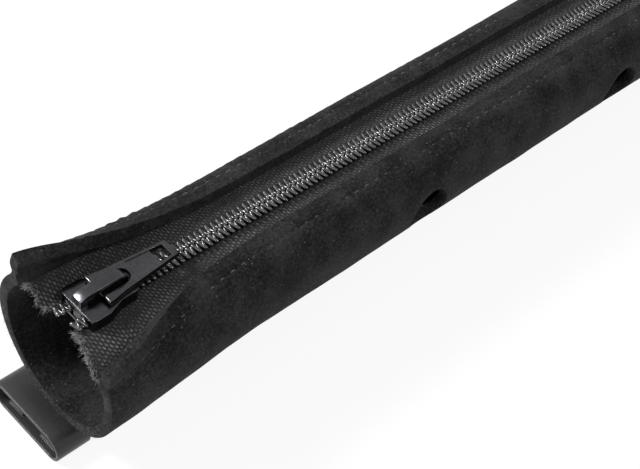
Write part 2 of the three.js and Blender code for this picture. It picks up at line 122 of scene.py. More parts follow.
def camera_white(tree, light_path):
    """Above zero on every ray that should see the plain white backdrop."""
    either = add_node(tree, "ShaderNodeMath", operation="MAXIMUM")
    tree.links.new(light_path.outputs["Is Camera Ray"], either.inputs[0])
    tree.links.new(light_path.outputs["Is Glossy Ray"], either.inputs[1])
    any_ray = add_node(tree, "ShaderNodeMath", operation="MAXIMUM")
    tree.links.new(either.outputs[0], any_ray.inputs[0])
    tree.links.new(light_path.outputs["Is Transmission Ray"], any_ray.inputs[1])
    return any_ray.outputs[0]


world = bpy.data.worlds.new("studio_world")
scene.world = world
world.use_nodes = True
world.node_tree.nodes.clear()
sky_light = add_node(world.node_tree, "ShaderNodeBackground")
sky_light.inputs["Color"].default_value = (1, 1, 1, 1)
sky_light.inputs["Strength"].default_value = WORLD_LEVEL
sky_white = add_node(world.node_tree, "ShaderNodeBackground")
sky_white.inputs["Color"].default_value = (1, 1, 1, 1)
sky_white.inputs["Strength"].default_value = 1
sky_choice = add_node(world.node_tree, "ShaderNodeMixShader")
sky_path = add_node(world.node_tree, "ShaderNodeLightPath")
world.node_tree.links.new(camera_white(world.node_tree, sky_path), sky_choice.inputs[0])
world.node_tree.links.new(sky_light.outputs[0], sky_choice.inputs[1])
world.node_tree.links.new(sky_white.outputs[0], sky_choice.inputs[2])
sky_out = add_node(world.node_tree, "ShaderNodeOutputWorld")
world.node_tree.links.new(sky_choice.outputs[0], sky_out.inputs[0])

clear_selection()
bpy.ops.mesh.primitive_plane_add(size=FLOOR_SIZE, location=(0, 0, 0))
floor = bpy.context.object
floor.name = "white_floor"
floor_material, floor_tree = start_material("white_paper")
floor_paper = add_node(floor_tree, "ShaderNodeBsdfDiffuse")
floor_paper.inputs["Color"].default_value = FLOOR_WHITE
floor_glow = add_node(floor_tree, "ShaderNodeEmission")
floor_glow.inputs["Strength"].default_value = 1
floor_share = add_node(floor_tree, "ShaderNodeMath", operation="MULTIPLY")
floor_share.inputs[1].default_value = FLOOR_GLOW_SHARE
floor_path = add_node(floor_tree, "ShaderNodeLightPath")
floor_tree.links.new(camera_white(floor_tree, floor_path), floor_share.inputs[0])
floor_mix = add_node(floor_tree, "ShaderNodeMixShader")
floor_tree.links.new(floor_share.outputs[0], floor_mix.inputs[0])
floor_tree.links.new(floor_paper.outputs[0], floor_mix.inputs[1])
floor_tree.links.new(floor_glow.outputs[0], floor_mix.inputs[2])
floor_out = add_node(floor_tree, "ShaderNodeOutputMaterial")
floor_tree.links.new(floor_mix.outputs[0], floor_out.inputs["Surface"])
floor.data.materials.append(floor_material)

for box_name, box_place, box_size, box_power in SOFT_BOXES:
    bpy.ops.object.light_add(type="AREA", location=SLEEVE_FRAME + Vector(box_place))
    soft_box = bpy.context.object
    soft_box.name = box_name
    soft_box.data.shape = "SQUARE"
    soft_box.data.size = box_size
    soft_box.data.energy = box_power
    towards = -Vector(box_place)
    soft_box.rotation_mode = "QUATERNION"
    soft_box.rotation_quaternion = towards.to_track_quat("-Z", "Y")

# Sleeve sheet
# One sheet of black knit cloth on closed-cell foam, bent into a tube that stays open along its top.
# Its two long edges lie over the zip tapes; at the mouth the tube spreads, turns and its edges curl up.
WALL = 2.7 * MM
BODY_RADIUS = 17.4 * MM
ZIP_ABOVE_CENTRE = 8.5 * MM
SHOULDER_RADIUS = 6 * MM
EDGE_GAP = 15 * MM
FLAP = 3.4 * MM
SHEET_OVER_TAPE = 0.3 * MM
MOUTH_RADIUS = 19.3 * MM
MOUTH_REACH = 25 * MM
MOUTH_FADE = 2.1
MOUTH_TWIST = math.radians(15)
FAR, NEAR = 1, -1
CURLS = {FAR: math.radians(87), NEAR: math.radians(80)}
CURL_BEFORE_SEAM = {FAR: 4.4 * MM, NEAR: 2.9 * MM}
CURL_REACH = 21.5 * MM
CURL_FADE = 1.3
CURL_BEND = 2.5 * MM
SLEEVE_LENGTH = SLEEVE_END_X - MOUTH_X
HOLE_RADIUS = 6 * MM
HOLE_COUNT = 5
HOLE_PITCH = 73 * MM
HOLE_ANGLE = math.radians(102)
ARC_COLUMNS = 34
FLAP_COLUMNS = 15
FINE_STEP = 1.1 * MM
FINE_REACH = 66 * MM
COARSE_STEP = 1.6 * MM
RIM_ROUND = 0.45 * MM
SEAM_PITCH = 3.1 * MM
CLOTH_DARK = (0.0035, 0.0035, 0.0036, 1)
CLOTH_LIGHT = (0.023, 0.023, 0.0235, 1)
LINT_GREY = (0.06, 0.06, 0.061, 1)
FOAM_DARK = (0.024, 0.024, 0.0245, 1)
FOAM_LIGHT = (0.085, 0.085, 0.087, 1)
FOAM_FIBRE = (0.14, 0.14, 0.142, 1)

SHEET_TOP = SHEET_OVER_TAPE + WALL
TURN_IN = math.acos((SHEET_TOP - SHOULDER_RADIUS + ZIP_ABOVE_CENTRE) / (BODY_RADIUS - SHOULDER_RADIUS))
LEVEL_STRETCH = (BODY_RADIUS - SHOULDER_RADIUS) * math.sin(TURN_IN) - EDGE_GAP / 2


def mouth_share(x):
    """How much of the mouth's shape is left at a distance from the mouth."""
    return math.exp(-((max(x, 0) / MOUTH_REACH) ** MOUTH_FADE))


class HalfSection:
    """Half of the sheet's middle surface at x, from the middle of the underside to the free edge."""

    def __init__(self, x, side, curled=True):
        share = mouth_share(x)
        radius = BODY_RADIUS + (MOUTH_RADIUS - BODY_RADIUS) * share - WALL / 2
        shoulder = SHOULDER_RADIUS - WALL / 2
        self.arc = radius * (math.pi - TURN_IN)
        self.length = self.arc + shoulder * TURN_IN + LEVEL_STRETCH
        self.seam = self.length - FLAP
        self.twist = share * MOUTH_TWIST
        self.x, self.side = x, side
        self.s = np.linspace(0, self.length, 500)
        middle = (self.s[1:] + self.s[:-1]) / 2
        bend = np.where(middle < self.arc, 1 / radius, 1 / shoulder)
        bend[middle > self.arc + shoulder * TURN_IN] = 0
        if curled:
            past_start = middle - self.seam + CURL_BEFORE_SEAM[side]
            curl = CURLS[side] * math.exp(-((max(x, 0) / CURL_REACH) ** CURL_FADE))
            bend = bend - ((past_start > 0) & (past_start < CURL_BEND)) * curl / CURL_BEND
        step = self.s[1]
        facing = math.pi - np.concatenate([[0], np.cumsum(bend * step)])
        half_way = (facing[1:] + facing[:-1]) / 2
        self.y = np.concatenate([[0], np.cumsum(-np.cos(half_way) * step)])
        self.z = np.concatenate([[0], np.cumsum(np.sin(half_way) * step)]) - radius
        self.facing = facing

    def at(self, s, out):
        """Points s along the sheet and out from its middle, in the row frame."""
        y, z, facing = (np.interp(s, self.s, line) for line in (self.y, self.z, self.facing))
        across = self.side * (y + out * np.sin(facing))
        up = z + out * np.cos(facing)
        turned_y = across * math.cos(self.twist) - up * math.sin(self.twist)
        turned_z = across * math.sin(self.twist) + up * math.cos(self.twist)
        x = np.full_like(turned_y, self.x)
        height = turned_z + TAPE_TOP_Z - ZIP_ABOVE_CENTRE
        return np.stack([x + MOUTH_X, turned_y + CHAIN_Y, height], axis=-1)


def along_stations(start, end):
    """Distances from the mouth, close together where the shape changes."""
    fine = np.linspace(start, FINE_REACH, round((FINE_REACH - start) / FINE_STEP) + 1)
    coarse = np.linspace(FINE_REACH, end, round((end - FINE_REACH) / COARSE_STEP) + 1)
    return np.concatenate([fine, coarse[1:]])


def grid_sheet(name, points, uv):
    """A grid primitive whose corners are moved to the rows and columns of the points given."""
    rows, columns = points.shape[:2]
    clear_selection()
    bpy.ops.mesh.primitive_grid_add(x_subdivisions=rows - 1, y_subdivisions=columns - 1, size=2)
    sheet = bpy.context.object
    sheet.name = name
    flat = np.empty(len(sheet.data.vertices) * 3)
    sheet.data.vertices.foreach_get("co", flat)
    flat = flat.reshape(-1, 3)
    row = np.rint((flat[:, 0] + 1) / 2 * (rows - 1)).astype(int)
    column = np.rint((flat[:, 1] + 1) / 2 * (columns - 1)).astype(int)
    sheet.data.vertices.foreach_set("co", points[row, column].ravel())
    corners = np.empty(len(sheet.data.loops), int)
    sheet.data.loops.foreach_get("vertex_index", corners)
    sheet.data.uv_layers[0].data.foreach_set("uv", uv[row, column][corners].ravel())
    sheet.data.update()
    return sheet, row, column


def add_modifier(piece, kind, **settings):
    modifier = piece.modifiers.new(kind.lower(), kind)
    for key, value in settings.items():
        setattr(modifier, key, value)
    return modifier


def apply_modifiers(piece):
    clear_selection()
    piece.select_set(True)
    bpy.context.view_layer.objects.active = piece
    for modifier in list(piece.modifiers):
        bpy.ops.object.modifier_apply(modifier=modifier.name)


def smooth(piece, angle=None):
    clear_selection()
    piece.select_set(True)
    bpy.context.view_layer.objects.active = piece
    if angle is None:
        bpy.ops.object.shade_smooth()
    else:
        bpy.ops.object.shade_smooth_by_angle(angle=math.radians(angle))


def sleeve_relief(x, s, half):
    """How far the cloth stands out or in: slow waves, and the dimples of the seam's stitches."""
    waves = 0.24 * noise.noise(Vector((x * 42, half.side * s * 55, 1.7)))
    lumps = 0.1 * noise.noise(Vector((x * 150, half.side * s * 170, 8.2)))
    off_seam = (s - half.seam) / (0.55 * MM)
    beat = 0.62 + 0.38 * math.cos(2 * math.pi * x / SEAM_PITCH)
    uneven = 0.75 + 0.7 * noise.noise(Vector((x * 95, half.side * 3, 5.1)))
    groove = -0.55 * math.exp(-off_seam * off_seam) * beat * uneven
    beside = (s - half.seam + 1.9 * MM) / (1.1 * MM)
    pucker = 0.24 * uneven * math.exp(-beside * beside) * math.cos(2 * math.pi * x / SEAM_PITCH + 0.6)
    return (waves + lumps + groove + pucker) * MM


sheet_x = along_stations(0, SLEEVE_LENGTH)
column_count = 2 * (ARC_COLUMNS + FLAP_COLUMNS) + 1
sheet_s = np.zeros((len(sheet_x), column_count))
sheet_at_x = np.repeat(sheet_x[:, None], column_count, axis=1)
middle_column = ARC_COLUMNS + FLAP_COLUMNS
sections = {}
for row_index, x in enumerate(sheet_x):
    for side in (NEAR, FAR):
        half = HalfSection(x, side)
        sections[row_index, side] = half
        marks = np.concatenate([
            np.linspace(0, half.arc, ARC_COLUMNS + 1),
            np.linspace(half.arc, half.length, FLAP_COLUMNS + 1)[1:],
        ])
        sheet_s[row_index, middle_column::side] = marks

hole_columns = sheet_s[:, :middle_column + 1]
first_hole_x = (SLEEVE_LENGTH - (HOLE_COUNT - 1) * HOLE_PITCH) / 2
middle_radius = BODY_RADIUS - WALL / 2
in_hole = np.zeros((len(sheet_x) - 1, column_count - 1), bool)
for hole_index in range(HOLE_COUNT):
    hole_x = first_hole_x + hole_index * HOLE_PITCH
    hole_s = middle_radius * (math.pi - HOLE_ANGLE)
    along = sheet_at_x[:, :middle_column] - hole_x
    around = middle_radius * np.sin((sheet_s[:, :middle_column] - hole_s) / middle_radius)
    distance = np.hypot(along, around)
    centre = (distance[1:, 1:] + distance[:-1, 1:] + distance[1:, :-1] + distance[:-1, :-1]) / 4
    cut = centre < HOLE_RADIUS
    in_hole[:, :middle_column - 1] |= cut
    padded_cut = np.pad(cut, 1)
    beside = (padded_cut[1:, 1:], padded_cut[1:, :-1], padded_cut[:-1, 1:], padded_cut[:-1, :-1])
    rim = np.any(beside, axis=0) & ~np.all(beside, axis=0)
    pull = HOLE_RADIUS / distance[rim]
    sheet_at_x[:, :middle_column][rim] = hole_x + along[rim] * pull
    new_around = np.clip(around[rim] * pull / middle_radius, -1, 1)
    sheet_s[:, :middle_column][rim] = hole_s + middle_radius * np.arcsin(new_around)

sheet_points = np.zeros((len(sheet_x), column_count, 3))
sheet_uv = np.zeros((len(sheet_x), column_count, 2))
for row_index, x in enumerate(sheet_x):
    for side in (NEAR, FAR):
        half = sections[row_index, side]
        picked = slice(middle_column, None, side)
        s_row, x_row = sheet_s[row_index, picked], sheet_at_x[row_index, picked]
        relief = np.array([sleeve_relief(x_one, s_one, half) for x_one, s_one in zip(x_row, s_row)])
        placed = half.at(s_row, relief)
        placed[:, 0] = MOUTH_X + x_row
        sheet_points[row_index, picked] = placed
        sheet_uv[row_index, picked] = np.stack([x_row, side * s_row], axis=-1)

sleeve, sheet_row, sheet_column = grid_sheet("sleeve_sheet", sheet_points, sheet_uv)
edit = bmesh.new()
edit.from_mesh(sleeve.data)
edit.faces.ensure_lookup_table()
gone = []
for face in edit.faces:
    low_row = min(sheet_row[corner.index] for corner in face.verts)
    low_column = min(sheet_column[corner.index] for corner in face.verts)
    if in_hole[low_row, low_column]:
        gone.append(face)
bmesh.ops.delete(edit, geom=gone, context="FACES")
bmesh.ops.recalc_face_normals(edit, faces=edit.faces)
edit.faces.ensure_lookup_table()
lowest = min(edit.faces, key=lambda face: face.calc_center_median().z)
if lowest.normal.z > 0:
    bmesh.ops.reverse_faces(edit, faces=edit.faces)
edit.to_mesh(sleeve.data)
edit.free()
add_modifier(sleeve, "SOLIDIFY", thickness=WALL, offset=0, material_offset_rim=1)
add_modifier(sleeve, "BEVEL", width=RIM_ROUND, segments=2, limit_method="ANGLE",
             angle_limit=math.radians(50))
apply_modifiers(sleeve)
smooth(sleeve)


def make_group(name, inputs, outputs):
    """An empty node group with named float or colour inputs and outputs."""
    group = bpy.data.node_groups.new(name, "ShaderNodeTree")
    for label, kind, value in inputs:
        socket = group.interface.new_socket(name=label, in_out="INPUT", socket_type=kind)
        if value is not None:
            socket.default_value = value
    for label, kind in outputs:
        group.interface.new_socket(name=label, in_out="OUTPUT", socket_type=kind)
    return group, add_node(group, "NodeGroupInput"), add_node(group, "NodeGroupOutput")


def fibre_grain_group():
    """Matted fibres: a fine mottle with scattered pale specks, as colour mask and height."""
    group, given, result = make_group(
        "fibre_grain",
        [("Fibre Scale", "NodeSocketFloat", 1500), ("Speck Scale", "NodeSocketFloat", 900),
         ("Speck Limit", "NodeSocketFloat", 0.2)],
        [("Mottle", "NodeSocketFloat"), ("Specks", "NodeSocketFloat"), ("Height", "NodeSocketFloat")],
    )
    place = add_node(group, "ShaderNodeTexCoord")
    fine = add_node(group, "ShaderNodeTexNoise")
    fine.inputs["Detail"].default_value = 3
    fine.inputs["Roughness"].default_value = 0.7
    group.links.new(place.outputs["Object"], fine.inputs["Vector"])
    group.links.new(given.outputs["Fibre Scale"], fine.inputs["Scale"])
    broad = add_node(group, "ShaderNodeTexNoise")
    broad.inputs["Scale"].default_value = 130
    broad.inputs["Detail"].default_value = 4
    group.links.new(place.outputs["Object"], broad.inputs["Vector"])
    both = add_node(group, "ShaderNodeMath", operation="MULTIPLY_ADD")
    both.inputs[1].default_value = 0.6
    group.links.new(fine.outputs["Fac"], both.inputs[0])
    share = add_node(group, "ShaderNodeMath", operation="MULTIPLY")
    share.inputs[1].default_value = 0.4
    group.links.new(broad.outputs["Fac"], share.inputs[0])
    group.links.new(share.outputs[0], both.inputs[2])
    spread = add_node(group, "ShaderNodeMapRange")
    spread.inputs["From Min"].default_value = 0.42
    spread.inputs["From Max"].default_value = 0.6
    group.links.new(both.outputs[0], spread.inputs["Value"])
    cells = add_node(group, "ShaderNodeTexVoronoi")
    group.links.new(place.outputs["Object"], cells.inputs["Vector"])
    group.links.new(given.outputs["Speck Scale"], cells.inputs["Scale"])
    near = add_node(group, "ShaderNodeMath", operation="LESS_THAN")
    group.links.new(cells.outputs["Distance"], near.inputs[0])
    group.links.new(given.outputs["Speck Limit"], near.inputs[1])
    split = add_node(group, "ShaderNodeSeparateColor")
    group.links.new(cells.outputs["Color"], split.inputs[0])
    rare = add_node(group, "ShaderNodeMath", operation="GREATER_THAN")
    rare.inputs[1].default_value = 0.72
    group.links.new(split.outputs[0], rare.inputs[0])
    specks = add_node(group, "ShaderNodeMath", operation="MULTIPLY")
    group.links.new(near.outputs[0], specks.inputs[0])
    group.links.new(rare.outputs[0], specks.inputs[1])
    height = add_node(group, "ShaderNodeMath", operation="MULTIPLY_ADD")
    height.inputs[1].default_value = 0.35
    group.links.new(specks.outputs[0], height.inputs[0])
    group.links.new(both.outputs[0], height.inputs[2])
    group.links.new(spread.outputs[0], result.inputs["Mottle"])
    group.links.new(specks.outputs[0], result.inputs["Specks"])
    group.links.new(height.outputs[0], result.inputs["Height"])
    return group


FIBRE_GRAIN = fibre_grain_group()


def place_group(tree, group, **values):
    used = add_node(tree, "ShaderNodeGroup", node_tree=group)
    for label, value in values.items():
        used.inputs[label.replace("_", " ")].default_value = value
    return used


def finish_surface(tree, roughness, metallic=0.0, **constants):
    """The shader at the end of a material, with its constants on its own sockets."""
    shader = add_node(tree, "ShaderNodeBsdfPrincipled")
    shader.inputs["Roughness"].default_value = roughness
    shader.inputs["Metallic"].default_value = metallic
    for label, value in constants.items():
        shader.inputs[label.replace("_", " ")].default_value = value
    out = add_node(tree, "ShaderNodeOutputMaterial")
    tree.links.new(shader.outputs[0], out.inputs["Surface"])
    return shader


def mix_colors(tree, mask, first, second):
    """first where the mask is 0 and second where it is 1. Each is a colour or an output."""
    mixed = add_node(tree, "ShaderNodeMix", data_type="RGBA")
    tree.links.new(mask, mixed.inputs["Factor"])
    for socket, value in ((mixed.inputs[6], first), (mixed.inputs[7], second)):
        if hasattr(value, "is_output"):
            tree.links.new(value, socket)
        else:
            socket.default_value = value
    return mixed.outputs[2]


def add_bump(tree, shader, height, strength, distance):
    bump = add_node(tree, "ShaderNodeBump")
    bump.inputs["Strength"].default_value = strength
    bump.inputs["Distance"].default_value = distance
    tree.links.new(height, bump.inputs["Height"])
    tree.links.new(bump.outputs[0], shader.inputs["Normal"])
    return bump


def black_knit():
    material, tree = start_material("black_knit_on_foam")
    grain = place_group(tree, FIBRE_GRAIN, Fibre_Scale=1500, Speck_Scale=800, Speck_Limit=0.16)
    cloth = mix_colors(tree, grain.outputs["Mottle"], CLOTH_DARK, CLOTH_LIGHT)
    with_specks = mix_colors(tree, grain.outputs["Specks"], cloth, LINT_GREY)
    shader = finish_surface(tree, 0.95, Sheen_Weight=0.02, Sheen_Roughness=0.6, Specular_IOR_Level=0.1)
    tree.links.new(with_specks, shader.inputs["Base Color"])
    add_bump(tree, shader, grain.outputs["Height"], 0.9, 0.4 * MM)
    return material


def cut_foam():
    """The cut edges, where the grey-black foam shows between its two knit faces."""
    material, tree = start_material("cut_foam_edge")
    grain = place_group(tree, FIBRE_GRAIN, Fibre_Scale=1700, Speck_Scale=1000, Speck_Limit=0.24)
    foam = mix_colors(tree, grain.outputs["Mottle"], FOAM_DARK, FOAM_LIGHT)
    shader = finish_surface(tree, 0.9, Specular_IOR_Level=0.2)
    with_fibres = mix_colors(tree, grain.outputs["Specks"], foam, FOAM_FIBRE)
    tree.links.new(with_fibres, shader.inputs["Base Color"])
    add_bump(tree, shader, grain.outputs["Height"], 1.0, 0.5 * MM)
    return material


sleeve.data.materials.append(black_knit())
sleeve.data.materials.append(cut_foam())
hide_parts("sleeve_wall")
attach(sleeve, "sleeve")

# Loose fibres at the mouth
# Short ends of the knit's black yarn that stand out of the cut along the lower lip of the mouth.
FIBRE_RINGS = 4
LIP_FIBRES = 520
LIP_REACH = 0.62
LIP_FIBRE_LENGTH = 0.75 * MM
LIP_FIBRE_RADIUS = 0.045 * MM
FIBRE_GREY = (0.1, 0.1, 0.102, 1)


def loose_fibres(name, roots, towards, lengths, radius, draw):
    """Thin three-sided hairs that bend as they leave their roots and narrow to their tips."""
    around = np.arange(3) * 2 * math.pi / 3
    points, faces = [], []
    for root, heading, length in zip(roots, towards, lengths):
        heading = Vector(heading).normalized()
        aside = heading.orthogonal().normalized()
        other = heading.cross(aside)
        curl = aside * draw.normal(0, 0.35) + other * draw.normal(0, 0.35)
        first = len(points)
        for ring in range(FIBRE_RINGS):
            share = ring / (FIBRE_RINGS - 1)
            centre = Vector(root) + (heading * share + curl * share * share) * length
            width = radius * (1 - 0.75 * share)
            for turn in around:
                points.append(centre + (aside * math.cos(turn) + other * math.sin(turn)) * width)
        for ring in range(FIBRE_RINGS - 1):
            low, high = first + 3 * ring, first + 3 * ring + 3
            faces += [(low + k, low + (k + 1) % 3, high + (k + 1) % 3, high + k) for k in range(3)]
        last = first + 3 * (FIBRE_RINGS - 1)
        faces += [(first + 2, first + 1, first), (last, last + 1, last + 2)]
    mesh = bpy.data.meshes.new(name)
    mesh.from_pydata(points, [], faces)
    hairs = bpy.data.objects.new(name, mesh)
    bpy.context.scene.collection.objects.link(hairs)
    smooth(hairs)
    return hairs


def fibre_cloth(name, colour):
    material, tree = start_material(name)
    finish_surface(tree, 0.7, Base_Color=colour, Specular_IOR_Level=0.4)
    return material


draw = np.random.default_rng(11)
lip_roots, lip_towards, lip_lengths = [], [], []
for index in range(LIP_FIBRES):
    side = (NEAR, FAR)[index % 2]
    half = sections[0, side]
    out = draw.uniform(-0.5, 0.5) * WALL
    root = half.at(np.array([half.arc * LIP_REACH * draw.random()]), np.array([out]))[0]
    lip_roots.append(root + np.array([0.1 * MM, 0, 0]))
    lip_towards.append((-1, draw.normal(0, 0.7), draw.normal(0, 0.7)))
    lip_lengths.append(LIP_FIBRE_LENGTH * draw.uniform(0.3, 1))
lip_fibres = loose_fibres("lip_fibres", lip_roots, lip_towards, lip_lengths, LIP_FIBRE_RADIUS, draw)
lip_fibres.data.materials.append(fibre_cloth("loose_black_yarn", FIBRE_GREY))
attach(lip_fibres, "sleeve")

# Zip tapes
# Two ribbed woven tapes of black polyester. Each is sewn under one long edge of the sheet, lies flat
# beside the chain and is cut off raw at the mouth, where its weave frays.
TAPE_THICKNESS = 0.5 * MM
TAPE_INNER_EDGE = 1.6 * MM
TAPE_FLAT_HALF = 6.25 * MM
TAPE_PAST_SEAM = 2 * MM
TAPE_INSET = 1.5 * MM
TAPE_COLUMNS = 22
TAPE_STEP_SPREAD = 1.45 * MM
NECK_END = 10.4 * MM
CHAIN_CLOSED = 14.3 * MM
# The tape's two tones are partly painted light: painted shade in the weave's grooves and painted light
# on its raised yarns, mixed with the yarn's random tone.
TAPE_SHADED_DARK = (0.003, 0.003, 0.0031, 1)
TAPE_LIT_GREY = (0.115, 0.115, 0.117, 1)
RAW_END_FADE = 12 * MM
RAW_END_WAVE = 0.7 * MM
# Where each raw end lies at places across the tape, both from the chain's centre line.
RAW_ENDS = {
    FAR: ((2.5, 4, 5.5, 11.5, 16), (6.8, 5.4, 1.8, 1.4, 0.9)),
    NEAR: ((2.5, 6, 10.5, 14.5), (3.2, 2.5, 1.1, 0.5)),
}


def chain_spread(x):
    """How far each side of the chain stands apart around the slider's neck."""
    share = min(max((x - NECK_END) / (CHAIN_CLOSED - NECK_END), 0), 1)
    return TAPE_STEP_SPREAD * (1 - share * share * (3 - 2 * share))


tape_ends = {}


def zip_tape(side, name):
    stations = along_stations(TAPE_INSET, SLEEVE_LENGTH - TAPE_INSET)
    points = np.zeros((len(stations), TAPE_COLUMNS, 3))
    uv = np.zeros((len(stations), TAPE_COLUMNS, 2))
    low = WALL / 2 + SHEET_OVER_TAPE + TAPE_THICKNESS / 2
    for row_index, x in enumerate(stations):
        half = HalfSection(x, side, curled=False)
        hidden = half.at(half.seam - np.array([0, 0.5, 1]) * TAPE_PAST_SEAM, -low)
        middle = TAPE_TOP_Z - TAPE_THICKNESS / 2
        flat = [
            (MOUTH_X + x, CHAIN_Y + side * (TAPE_INNER_EDGE + chain_spread(x)), middle),
            (MOUTH_X + x, CHAIN_Y + side * TAPE_FLAT_HALF * 0.8, middle),
            (MOUTH_X + x, CHAIN_Y + side * TAPE_FLAT_HALF, middle),
        ]
        line = np.concatenate([np.array(flat), hidden])
        along = np.concatenate([[0], np.cumsum(np.linalg.norm(np.diff(line, axis=0), axis=1))])
        wanted = np.linspace(0, along[-1], TAPE_COLUMNS)
        for axis in range(3):
            points[row_index, :, axis] = np.interp(wanted, along, line[:, axis])
        across, ends = RAW_ENDS[side]
        reach = np.abs(points[row_index, :, 1] - CHAIN_Y) / MM
        raw_end = np.interp(reach, across, ends) * MM
        wave = [noise.noise(Vector((one * 0.9, side * 3, 4))) for one in reach]
        raw_end += RAW_END_WAVE * np.array(wave)
        left = max(0, 1 - (x - TAPE_INSET) / RAW_END_FADE)
        points[row_index, :, 0] += (raw_end - TAPE_INSET) * left
        uv[row_index] = np.stack([points[row_index, :, 0] - MOUTH_X, side * wanted], axis=-1)
    tape_ends[side] = points[0]
    tape, _, _ = grid_sheet(name, points, uv)
    clear_selection()
    tape.select_set(True)
    bpy.context.view_layer.objects.active = tape
    bpy.ops.object.mode_set(mode="EDIT")
    bpy.ops.mesh.select_all(action="SELECT")
    bpy.ops.mesh.normals_make_consistent(inside=False)
    bpy.ops.object.mode_set(mode="OBJECT")
    if sum(face.normal.z for face in tape.data.polygons) < 0:
        tape.data.flip_normals()
    add_modifier(tape, "SOLIDIFY", thickness=TAPE_THICKNESS, offset=0)
    apply_modifiers(tape)
    smooth(tape, 40)
    return tape


def ribbed_weave():
    material, tree = start_material("ribbed_black_weave")
    place = add_node(tree, "ShaderNodeUVMap")
    ribs = add_node(tree, "ShaderNodeTexWave", wave_type="BANDS", bands_direction="X")
    ribs.inputs["Scale"].default_value = 0.314 / (0.77 * MM)
    ribs.inputs["Distortion"].default_value = 0.6
    ribs.inputs["Detail Scale"].default_value = 3
    yarns = add_node(tree, "ShaderNodeTexWave", wave_type="BANDS", bands_direction="DIAGONAL")
    yarns.inputs["Scale"].default_value = 0.314 / (0.62 * MM)
    yarns.inputs["Distortion"].default_value = 1.2
    for wave in (ribs, yarns):
        tree.links.new(place.outputs[0], wave.inputs["Vector"])
    weave = add_node(tree, "ShaderNodeMath", operation="MULTIPLY")
    tree.links.new(ribs.outputs["Fac"], weave.inputs[0])
    tree.links.new(yarns.outputs["Fac"], weave.inputs[1])
    raised = add_node(tree, "ShaderNodeMapRange")
    raised.inputs["From Min"].default_value = 0.15
    raised.inputs["From Max"].default_value = 0.65
    tree.links.new(weave.outputs[0], raised.inputs["Value"])
    grain = place_group(tree, FIBRE_GRAIN, Fibre_Scale=1700, Speck_Scale=1300, Speck_Limit=0.2)
    # Painted light and shade: the colour follows the weave's height, so raised yarns are painted
    # lighter as lit ridges and low parts darker as shade in the grooves. The mottle multiplied in is
    # random tone of the yarn.
    mask = add_node(tree, "ShaderNodeMath", operation="MULTIPLY")
    tree.links.new(raised.outputs[0], mask.inputs[0])
    tree.links.new(grain.outputs["Mottle"], mask.inputs[1])
    shader = finish_surface(tree, 0.75, Sheen_Weight=0.05, Specular_IOR_Level=0.3)
    shade = mix_colors(tree, mask.outputs[0], TAPE_SHADED_DARK, TAPE_LIT_GREY)
    tree.links.new(shade, shader.inputs["Base Color"])
    height = add_node(tree, "ShaderNodeMath", operation="ADD")
    tree.links.new(raised.outputs[0], height.inputs[0])
    tree.links.new(grain.outputs["Mottle"], height.inputs[1])
    add_bump(tree, shader, height.outputs[0], 0.9, 0.3 * MM)
    return material


TAPE_WEAVE = ribbed_weave()
for side, tape_name in ((FAR, "zip_tape_far"), (NEAR, "zip_tape_near")):
    tape = zip_tape(side, "woven_" + tape_name)
    tape.data.materials.append(TAPE_WEAVE)
    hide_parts(tape_name)
    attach(tape, "sleeve")

# Frayed tape ends
# Cut yarns of the two tapes that stick out of their raw ends at the mouth, thickest by the near edge.
FRAYED_YARNS = {FAR: 420, NEAR: 520}
FRAYED_LENGTH = 1.5 * MM
FRAYED_RADIUS = 0.055 * MM
FRAYED_SPREAD = {FAR: (2.6, 13.5), NEAR: (2.6, 14.2)}
FRAYED_GREY = (0.24, 0.24, 0.243, 1)

frayed_yarn = fibre_cloth("frayed_tape_yarn", FRAYED_GREY)
for side, frayed_name in ((FAR, "frayed_end_far"), (NEAR, "frayed_end_near")):
    end_points = tape_ends[side]
    by_reach = np.argsort(np.abs(end_points[:, 1] - CHAIN_Y))
    end_points = end_points[by_reach]
    reach_known = np.abs(end_points[:, 1] - CHAIN_Y) / MM
    roots, towards, lengths = [], [], []
    for index in range(FRAYED_YARNS[side]):
        reach = draw.uniform(*FRAYED_SPREAD[side])
        root = np.array([np.interp(reach, reach_known, end_points[:, axis]) for axis in range(3)])
        root[0] += draw.uniform(0, 1.1) * MM
        root[2] += draw.uniform(-0.1, 0.32) * MM
        roots.append(root)
        towards.append((-1, draw.normal(0, 0.9), draw.normal(-0.1, 0.6)))
        lengths.append(FRAYED_LENGTH * draw.uniform(0.2, 1) ** 1.5)
    frayed = loose_fibres(frayed_name, roots, towards, lengths, FRAYED_RADIUS, draw)
    frayed.data.materials.append(frayed_yarn)
    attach(frayed, "sleeve")

# Zip coils
# Each is one nylon monofilament wound into a flattened spiral and sewn along its tape's edge. The two
# spirals are offset by half a turn, so their heads lock past each other along the middle.
COIL_PITCH = 1.54 * MM
COIL_INSET = 2.5 * MM
CHAIN_END_MARGIN = 12 * MM
WIRE_RADIUS = 0.43 * MM
HEAD_SWELL = 0.08
STITCHED_DIP = 0.34 * MM
COIL_OUTER = 3.1 * MM
COIL_HEAD = -0.28 * MM
COIL_LOW = 0.3 * MM
COIL_TOP = 2.0 * MM
POINTS_PER_TURN = 12
NYLON_BLACK = (0.014, 0.014, 0.015, 1)


def tube_from_path(name, path, radius, swell):
    """A mesh tube along a path of points in the row frame, its radius times each point's swell."""
    line = bpy.data.curves.new(name, "CURVE")
    line.dimensions = "3D"
    line.bevel_depth = radius
    line.bevel_resolution = 1
    line.use_fill_caps = True
    spline = line.splines.new("POLY")
    spline.points.add(len(path) - 1)
    spline.points.foreach_set("co", np.concatenate([path, np.ones((len(path), 1))], axis=1).ravel())
    spline.points.foreach_set("radius", swell)
    tube = bpy.data.objects.new(name, line)
    bpy.context.scene.collection.objects.link(tube)
    clear_selection()
    tube.select_set(True)
    bpy.context.view_layer.objects.active = tube
    bpy.ops.object.convert(target="MESH")
    smooth(bpy.context.object)
    return bpy.context.object


